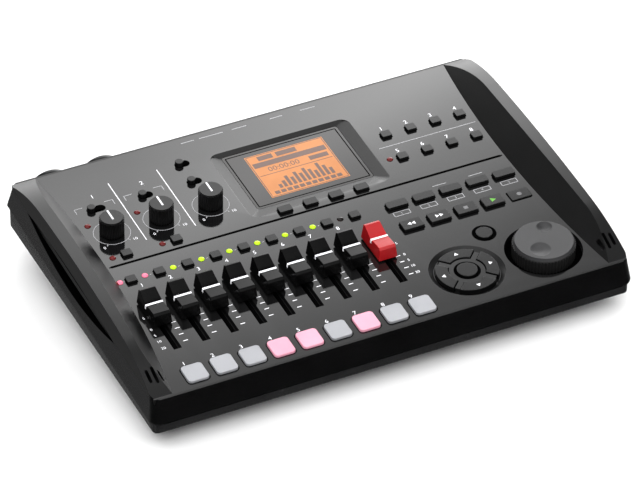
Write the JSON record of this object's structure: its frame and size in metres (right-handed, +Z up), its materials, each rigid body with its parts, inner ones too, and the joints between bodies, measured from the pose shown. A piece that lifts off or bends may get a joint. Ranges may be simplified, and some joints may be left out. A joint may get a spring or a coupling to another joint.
{
  "type": "digital multitrack recorder",
  "caption": "Desktop digital multitrack recorder: sloped deck with faders, lit pads, cursor keys, jog dial, gain knobs, display, arched side rails and rear jacks.",
  "frame": {"origin": "middle of the footprint, on the table under the feet", "axes": "+X to the right of the person at the controls, +Y to the rear, +Z up"},
  "size_m": [0.257, 0.1904, 0.0521],
  "materials": {
    "black_case": "glossy black",
    "black_rail": "satin black",
    "dark_panel": "smooth, slightly glossy",
    "black_key": "smooth black",
    "black_cap": "smooth black",
    "red_cap": "smooth red",
    "dial_grey": "fine matte",
    "pad_white": "translucent white",
    "pad_pink": "lit pink",
    "window": "clear window",
    "lcd": "backlit",
    "board_green": "solder mask",
    "inner_dark": "moulded",
    "jack_black": "smooth black",
    "jack_metal": "nickel plated",
    "foot_rubber": "matte",
    "lamp": "clear lens"
  },
  "bodies": {
    "case": {"upper_case": "black_case", "deck_panel": "dark_panel", "side_rails": "black_rail", "lower_case": "black_case", "rear_panel": "black_case", "display_window": "window", "display_module": "lcd", "main_board": "board_green", "potentiometers": "inner_dark", "switch_bodies": "inner_dark", "combo_jacks": "jack_black", "phone_jacks": "jack_metal", "side_sockets": "jack_metal", "rubber_feet": "foot_rubber", "indicator_lamps": "lamp"},
    "status_keys": {"status_keys": "black_key"},
    "input_keys": {"input_keys": "black_key"},
    "soft_keys": {"soft_keys": "black_key"},
    "function_keys": {"function_keys": "black_key"},
    "marker_keys": {"marker_keys": "black_key"},
    "exit_key": {"exit_key": "black_key"},
    "enter_key": {"enter_key": "black_key"},
    "up_key": {"up_key": "black_key"},
    "down_key": {"down_key": "black_key"},
    "left_key": {"left_key": "black_key"},
    "right_key": {"right_key": "black_key"},
    "rewind_key": {"rewind_key": "black_key"},
    "forward_key": {"forward_key": "black_key"},
    "stop_key": {"stop_key": "black_key"},
    "play_key": {"play_key": "black_key"},
    "record_key": {"record_key": "black_key"},
    "pad_1": {"pad_1": "pad_white"},
    "pad_2": {"pad_2": "pad_white"},
    "pad_3": {"pad_3": "pad_white"},
    "pad_4": {"pad_4": "pad_pink"},
    "pad_5": {"pad_5": "pad_pink"},
    "pad_6": {"pad_6": "pad_white"},
    "pad_7": {"pad_7": "pad_pink"},
    "pad_8": {"pad_8": "pad_white"},
    "pad_9": {"pad_9": "pad_white"},
    "fader_1": {"fader_1": "black_cap"},
    "fader_2": {"fader_2": "black_cap"},
    "fader_3": {"fader_3": "black_cap"},
    "fader_4": {"fader_4": "black_cap"},
    "fader_5": {"fader_5": "black_cap"},
    "fader_6": {"fader_6": "black_cap"},
    "fader_7": {"fader_7": "black_cap"},
    "fader_8": {"fader_8": "black_cap"},
    "master_fader": {"master_fader": "red_cap"},
    "gain_knob_1": {"gain_knob_1": "black_cap"},
    "gain_knob_2": {"gain_knob_2": "black_cap"},
    "balance_knob": {"balance_knob": "black_cap"},
    "jog_dial": {"jog_dial": "dial_grey"},
    "volume_knob": {"volume_knob": "black_cap"},
    "input_switch_1": {"input_switch_1": "black_key"},
    "input_switch_2": {"input_switch_2": "black_key"},
    "phantom_switch": {"phantom_switch": "black_key"},
    "metronome_switch": {"metronome_switch": "black_key"},
    "power_switch": {"power_switch": "black_key"},
    "battery_door": {"battery_door": "black_case"}
  },
  "joints": [
    {"name": "status_keys_press", "type": "slide", "parent": "case", "child": "status_keys", "axis": [0, 0.1045, -0.9945], "range_m": [0, 0.0006], "stiffness_N_per_m": 400},
    {"name": "input_keys_press", "type": "slide", "parent": "case", "child": "input_keys", "axis": [0, 0.1045, -0.9945], "range_m": [0, 0.0006], "stiffness_N_per_m": 400},
    {"name": "soft_keys_press", "type": "slide", "parent": "case", "child": "soft_keys", "axis": [0, 0.1045, -0.9945], "range_m": [0, 0.0006], "stiffness_N_per_m": 400},
    {"name": "function_keys_press", "type": "slide", "parent": "case", "child": "function_keys", "axis": [0, 0.1045, -0.9945], "range_m": [0, 0.0006], "stiffness_N_per_m": 400},
    {"name": "marker_keys_press", "type": "slide", "parent": "case", "child": "marker_keys", "axis": [0, 0.1045, -0.9945], "range_m": [0, 0.0006], "stiffness_N_per_m": 400},
    {"name": "exit_key_press", "type": "slide", "parent": "case", "child": "exit_key", "axis": [0, 0.1045, -0.9945], "range_m": [0, 0.0006], "stiffness_N_per_m": 400},
    {"name": "enter_key_press", "type": "slide", "parent": "case", "child": "enter_key", "axis": [0, 0.1045, -0.9945], "range_m": [0, 0.0006], "stiffness_N_per_m": 400},
    {"name": "up_key_press", "type": "slide", "parent": "case", "child": "up_key", "axis": [0, 0.1045, -0.9945], "range_m": [0, 0.0006], "stiffness_N_per_m": 400},
    {"name": "down_key_press", "type": "slide", "parent": "case", "child": "down_key", "axis": [0, 0.1045, -0.9945], "range_m": [0, 0.0006], "stiffness_N_per_m": 400},
    {"name": "left_key_press", "type": "slide", "parent": "case", "child": "left_key", "axis": [0, 0.1045, -0.9945], "range_m": [0, 0.0006], "stiffness_N_per_m": 400},
    {"name": "right_key_press", "type": "slide", "parent": "case", "child": "right_key", "axis": [0, 0.1045, -0.9945], "range_m": [0, 0.0006], "stiffness_N_per_m": 400},
    {"name": "rewind_key_press", "type": "slide", "parent": "case", "child": "rewind_key", "axis": [0, 0.1045, -0.9945], "range_m": [0, 0.0006], "stiffness_N_per_m": 400},
    {"name": "forward_key_press", "type": "slide", "parent": "case", "child": "forward_key", "axis": [0, 0.1045, -0.9945], "range_m": [0, 0.0006], "stiffness_N_per_m": 400},
    {"name": "stop_key_press", "type": "slide", "parent": "case", "child": "stop_key", "axis": [0, 0.1045, -0.9945], "range_m": [0, 0.0006], "stiffness_N_per_m": 400},
    {"name": "play_key_press", "type": "slide", "parent": "case", "child": "play_key", "axis": [0, 0.1045, -0.9945], "range_m": [0, 0.0006], "stiffness_N_per_m": 400},
    {"name": "record_key_press", "type": "slide", "parent": "case", "child": "record_key", "axis": [0, 0.1045, -0.9945], "range_m": [0, 0.0006], "stiffness_N_per_m": 400},
    {"name": "pad_1_press", "type": "slide", "parent": "case", "child": "pad_1", "axis": [0, 0.1045, -0.9945], "range_m": [0, 0.0009], "stiffness_N_per_m": 400},
    {"name": "pad_2_press", "type": "slide", "parent": "case", "child": "pad_2", "axis": [0, 0.1045, -0.9945], "range_m": [0, 0.0009], "stiffness_N_per_m": 400},
    {"name": "pad_3_press", "type": "slide", "parent": "case", "child": "pad_3", "axis": [0, 0.1045, -0.9945], "range_m": [0, 0.0009], "stiffness_N_per_m": 400},
    {"name": "pad_4_press", "type": "slide", "parent": "case", "child": "pad_4", "axis": [0, 0.1045, -0.9945], "range_m": [0, 0.0009], "stiffness_N_per_m": 400},
    {"name": "pad_5_press", "type": "slide", "parent": "case", "child": "pad_5", "axis": [0, 0.1045, -0.9945], "range_m": [0, 0.0009], "stiffness_N_per_m": 400},
    {"name": "pad_6_press", "type": "slide", "parent": "case", "child": "pad_6", "axis": [0, 0.1045, -0.9945], "range_m": [0, 0.0009], "stiffness_N_per_m": 400},
    {"name": "pad_7_press", "type": "slide", "parent": "case", "child": "pad_7", "axis": [0, 0.1045, -0.9945], "range_m": [0, 0.0009], "stiffness_N_per_m": 400},
    {"name": "pad_8_press", "type": "slide", "parent": "case", "child": "pad_8", "axis": [0, 0.1045, -0.9945], "range_m": [0, 0.0009], "stiffness_N_per_m": 400},
    {"name": "pad_9_press", "type": "slide", "parent": "case", "child": "pad_9", "axis": [0, 0.1045, -0.9945], "range_m": [0, 0.0009], "stiffness_N_per_m": 400},
    {"name": "fader_1_slide", "type": "slide", "parent": "case", "child": "fader_1", "axis": [0, 0.9945, 0.1045], "range_m": [-0.0244, 0.0072]},
    {"name": "fader_2_slide", "type": "slide", "parent": "case", "child": "fader_2", "axis": [0, 0.9945, 0.1045], "range_m": [-0.0244, 0.0072]},
    {"name": "fader_3_slide", "type": "slide", "parent": "case", "child": "fader_3", "axis": [0, 0.9945, 0.1045], "range_m": [-0.0244, 0.0072]},
    {"name": "fader_4_slide", "type": "slide", "parent": "case", "child": "fader_4", "axis": [0, 0.9945, 0.1045], "range_m": [-0.0244, 0.0072]},
    {"name": "fader_5_slide", "type": "slide", "parent": "case", "child": "fader_5", "axis": [0, 0.9945, 0.1045], "range_m": [-0.0244, 0.0072]},
    {"name": "fader_6_slide", "type": "slide", "parent": "case", "child": "fader_6", "axis": [0, 0.9945, 0.1045], "range_m": [-0.0244, 0.0072]},
    {"name": "fader_7_slide", "type": "slide", "parent": "case", "child": "fader_7", "axis": [0, 0.9945, 0.1045], "range_m": [-0.0244, 0.0072]},
    {"name": "fader_8_slide", "type": "slide", "parent": "case", "child": "fader_8", "axis": [0, 0.9945, 0.1045], "range_m": [-0.0244, 0.0072]},
    {"name": "master_fader_slide", "type": "slide", "parent": "case", "child": "master_fader", "axis": [0, 0.9945, 0.1045], "range_m": [-0.0244, 0.0072]},
    {"name": "gain_knob_1_turn", "type": "hinge", "parent": "case", "child": "gain_knob_1", "pos_m": [-0.0951, 0.02916, 0.0404], "axis": [0, -0.1045, 0.9945], "range_deg": [-150, 150]},
    {"name": "gain_knob_2_turn", "type": "hinge", "parent": "case", "child": "gain_knob_2", "pos_m": [-0.0686, 0.02916, 0.0404], "axis": [0, -0.1045, 0.9945], "range_deg": [-150, 150]},
    {"name": "balance_knob_turn", "type": "hinge", "parent": "case", "child": "balance_knob", "pos_m": [-0.0421, 0.02916, 0.0404], "axis": [0, -0.1045, 0.9945], "range_deg": [-150, 150]},
    {"name": "jog_dial_turn", "type": "hinge", "parent": "case", "child": "jog_dial", "pos_m": [0.092, -0.0692, 0.03006], "axis": [0, -0.1045, 0.9945], "continuous": true},
    {"name": "volume_knob_turn", "type": "hinge", "parent": "case", "child": "volume_knob", "pos_m": [0.043, 0.08679, 0.03356], "axis": [0, 0.9945, 0.1045], "range_deg": [-150, 150]},
    {"name": "input_switch_1_slide", "type": "slide", "parent": "case", "child": "input_switch_1", "axis": [1, 0, 0], "range_m": [0, 0.005]},
    {"name": "input_switch_2_slide", "type": "slide", "parent": "case", "child": "input_switch_2", "axis": [1, 0, 0], "range_m": [0, 0.003]},
    {"name": "phantom_switch_slide", "type": "slide", "parent": "case", "child": "phantom_switch", "axis": [1, 0, 0], "range_m": [0, 0.003]},
    {"name": "metronome_switch_slide", "type": "slide", "parent": "case", "child": "metronome_switch", "axis": [1, 0, 0], "range_m": [0, 0.003]},
    {"name": "power_switch_slide", "type": "slide", "parent": "case", "child": "power_switch", "axis": [1, 0, 0], "range_m": [0, 0.003]},
    {"name": "battery_door_slide", "type": "slide", "parent": "case", "child": "battery_door", "axis": [0, 1, 0], "range_m": [0, 0.008]}
  ]
}
